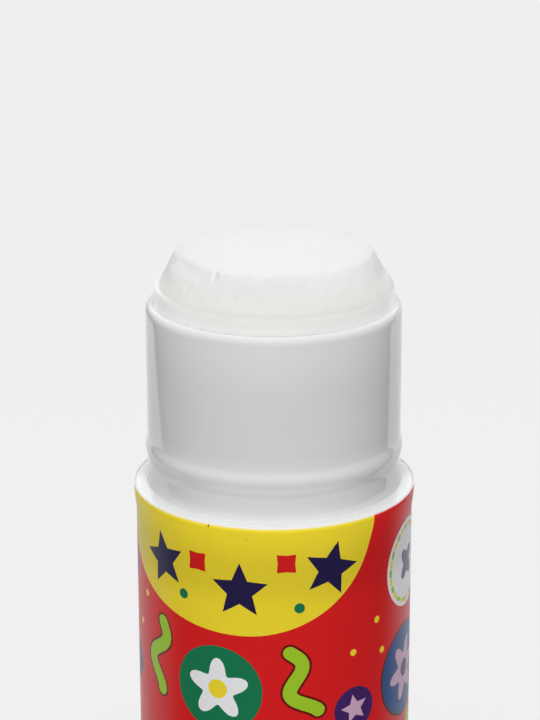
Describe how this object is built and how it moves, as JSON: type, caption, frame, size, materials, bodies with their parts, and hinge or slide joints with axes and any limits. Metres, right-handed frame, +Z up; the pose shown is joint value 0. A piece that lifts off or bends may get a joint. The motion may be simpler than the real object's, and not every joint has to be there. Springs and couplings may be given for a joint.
{
  "type": "glue stick",
  "caption": "Round twist-up glue stick with its cap off. A ribbed knob turns a coarse screw that lifts a column of solid glue out of a white barrel in a printed film.",
  "frame": {"origin": "middle of the knob's foot, on the surface that the stick stands on, with the stick upright", "axes": "+Z up along the stick's axis towards the glue; +X to the right and +Y away from the picture's viewpoint"},
  "size_m": [0.0264, 0.0264, 0.0953],
  "materials": {
    "barrel_plastic": "smooth moulded white polypropylene, glossy, a little translucent",
    "printed_film": "glossy film printed in red and yellow with small coloured motifs",
    "glue": "waxy milky-white solid glue, satin and slightly mottled",
    "inner_plastic": "plain natural-white moulded plastic",
    "knob_plastic": "satin moulded white plastic"
  },
  "bodies": {
    "barrel": {"barrel": "barrel_plastic", "printed_label": "printed_film"},
    "knob": {"twist_knob": "knob_plastic", "drive_screw": "inner_plastic"},
    "carriage": {"carrier": "inner_plastic", "glue": "glue"}
  },
  "joints": [
    {"name": "knob_turn", "type": "hinge", "parent": "barrel", "child": "knob", "pos_m": [0, 0, 0], "axis": [0, 0, 1], "range_deg": [-496.8, 3880.8]},
    {"name": "glue_lift", "type": "slide", "parent": "barrel", "child": "carriage", "axis": [0, 0, 1], "range_m": [-0.0069, 0.0539]}
  ],
  "couplings": [
    {"joint": "knob_turn", "follows": "glue_lift", "rad_per_m": 1256.6}
  ]
}
